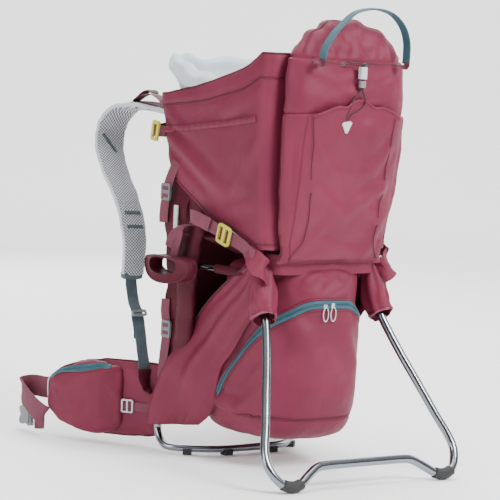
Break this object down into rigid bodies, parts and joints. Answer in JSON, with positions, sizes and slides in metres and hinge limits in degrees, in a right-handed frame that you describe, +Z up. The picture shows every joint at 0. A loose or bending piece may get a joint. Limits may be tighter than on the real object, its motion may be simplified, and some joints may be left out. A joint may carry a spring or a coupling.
{
  "type": "framed child carrier backpack",
  "caption": "Framed backpack child carrier with bent tube frame, folding kickstand, child cockpit, padded straps, hip belt and zipped bags.",
  "frame": {"origin": "centre of the bounding box at floor level, under the carrier", "axes": "+Z up, +Y towards the wearer (shoulder straps and hip belt), -Y the outer rear side (pockets, kickstand), +X the wearer's right"},
  "size_m": [0.5348, 0.7059, 0.7911],
  "materials": {
    "nylon": "coated ripstop nylon, raspberry",
    "dark_nylon": "dark maroon nylon",
    "teal": "teal webbing and zip tape",
    "mesh": "spacer air mesh, light grey",
    "lining": "soft brushed lining, very light grey",
    "slate": "slate grey webbing",
    "tube": "polished aluminium tube",
    "rubber": "moulded black rubber",
    "grey": "grey acetal",
    "steel": "steel pin",
    "white": "light grey acetal",
    "yellow": "olive yellow acetal",
    "cord": "braided elastic cord"
  },
  "bodies": {
    "frame": {"cockpit_shell": "nylon", "upper_rear_pocket": "nylon", "sun_roof_pocket": "nylon", "lower_bag": "nylon", "side_drape_left": "nylon", "side_drape_right": "nylon", "side_entry_strap_left": "nylon", "side_entry_strap_right": "nylon", "back_board": "dark_nylon", "back_pad_upper": "mesh", "lumbar_pad": "mesh", "chin_pad": "lining", "seat_pad": "lining", "child_back_pad": "lining", "main_frame_tube": "tube", "upper_cross_tube": "tube", "seat_frame_tube": "tube", "base_foot_outer_left": "rubber", "base_foot_outer_right": "rubber", "base_foot_inner_left": "rubber", "base_foot_inner_right": "rubber", "hinge_bracket_left": "grey", "hinge_bracket_right": "grey", "harness_buckle": "grey", "ladder_lock_upper_left": "grey", "ladder_lock_upper_right": "grey", "ladder_lock_lower_left": "grey", "ladder_lock_lower_right": "grey", "hinge_pin_left": "steel", "hinge_pin_right": "steel", "cord_lock_body": "white", "drawcord_tab": "white", "side_buckle_left": "yellow", "side_buckle_right": "yellow", "corner_buckle_left": "yellow", "corner_buckle_right": "yellow", "drawcord": "cord"},
    "kickstand": {"kickstand_tube": "tube", "kickstand_foot_left": "rubber", "kickstand_foot_right": "rubber"},
    "top_handle_loop": {"top_handle": "teal"},
    "lock_button": {"cord_lock_button": "grey"},
    "shoulder_strap_left": {"shoulder_strap_left": "mesh", "strap_webbing_left": "slate", "strap_adjuster_left": "grey"},
    "hip_fin_left": {"hip_fin_left": "nylon", "belt_webbing_left": "nylon"},
    "belt_buckle_left": {"belt_buckle_left": "grey"},
    "stirrup_left": {"stirrup_left": "dark_nylon"},
    "shoulder_strap_right": {"shoulder_strap_right": "mesh", "strap_webbing_right": "slate", "strap_adjuster_right": "grey"},
    "hip_fin_right": {"hip_fin_right": "nylon", "belt_webbing_right": "nylon"},
    "belt_buckle_right": {"belt_buckle_right": "grey"},
    "stirrup_right": {"stirrup_right": "dark_nylon"},
    "zip_slider_1": {"zip_slider_1": "white"},
    "zip_pull_1": {"zip_pull_1": "white"},
    "zip_slider_2": {"zip_slider_2": "white"},
    "zip_pull_2": {"zip_pull_2": "white"}
  },
  "joints": [
    {"name": "kickstand_fold", "type": "hinge", "parent": "frame", "child": "kickstand", "pos_m": [0, -0.179, 0.302], "axis": [1, 0, 0], "range_deg": [0, 50]},
    {"name": "handle_tilt", "type": "hinge", "parent": "frame", "child": "top_handle_loop", "pos_m": [0, -0.271, 0.7], "axis": [1, 0, 0], "range_deg": [0, 90]},
    {"name": "lock_button_press", "type": "slide", "parent": "frame", "child": "lock_button", "axis": [0, 0, 1], "range_m": [0, 0.0026], "stiffness_N_per_m": 400, "springref_m": -0.0005},
    {"name": "strap_swing_left", "type": "hinge", "parent": "frame", "child": "shoulder_strap_left", "pos_m": [0, 0.123, 0.566], "axis": [1, 0, 0], "range_deg": [-4, 30]},
    {"name": "fin_fold_left", "type": "hinge", "parent": "frame", "child": "hip_fin_left", "pos_m": [-0.127, 0.077, 0.1], "axis": [0, 0, -1], "range_deg": [0, 35]},
    {"name": "buckle_swing_left", "type": "hinge", "parent": "hip_fin_left", "child": "belt_buckle_left", "pos_m": [-0.249, 0.306, 0.027], "axis": [0, 0, 1], "range_deg": [-25, 20]},
    {"name": "stirrup_swing_left", "type": "hinge", "parent": "frame", "child": "stirrup_left", "pos_m": [-0.166, 0.001, 0.392], "axis": [1, 0, 0], "range_deg": [-20, 25]},
    {"name": "strap_swing_right", "type": "hinge", "parent": "frame", "child": "shoulder_strap_right", "pos_m": [0, 0.123, 0.566], "axis": [1, 0, 0], "range_deg": [-4, 30]},
    {"name": "fin_fold_right", "type": "hinge", "parent": "frame", "child": "hip_fin_right", "pos_m": [0.127, 0.077, 0.1], "axis": [0, 0, 1], "range_deg": [0, 35]},
    {"name": "buckle_swing_right", "type": "hinge", "parent": "hip_fin_right", "child": "belt_buckle_right", "pos_m": [0.249, 0.306, 0.027], "axis": [0, 0, 1], "range_deg": [-8, 25]},
    {"name": "stirrup_swing_right", "type": "hinge", "parent": "frame", "child": "stirrup_right", "pos_m": [0.166, 0.001, 0.392], "axis": [1, 0, 0], "range_deg": [-20, 25]},
    {"name": "zip_run_1", "type": "slide", "parent": "frame", "child": "zip_slider_1", "axis": [1, 0, 0], "range_m": [-0.03, 0]},
    {"name": "pull_swing_1", "type": "hinge", "parent": "zip_slider_1", "child": "zip_pull_1", "pos_m": [-0.019, -0.2279, 0.286], "axis": [1, 0, 0], "range_deg": [-90, 0]},
    {"name": "zip_run_2", "type": "slide", "parent": "frame", "child": "zip_slider_2", "axis": [1, 0, 0], "range_m": [0, 0.03]},
    {"name": "pull_swing_2", "type": "hinge", "parent": "zip_slider_2", "child": "zip_pull_2", "pos_m": [-0.003, -0.2279, 0.286], "axis": [1, 0, 0], "range_deg": [-90, 0]}
  ]
}
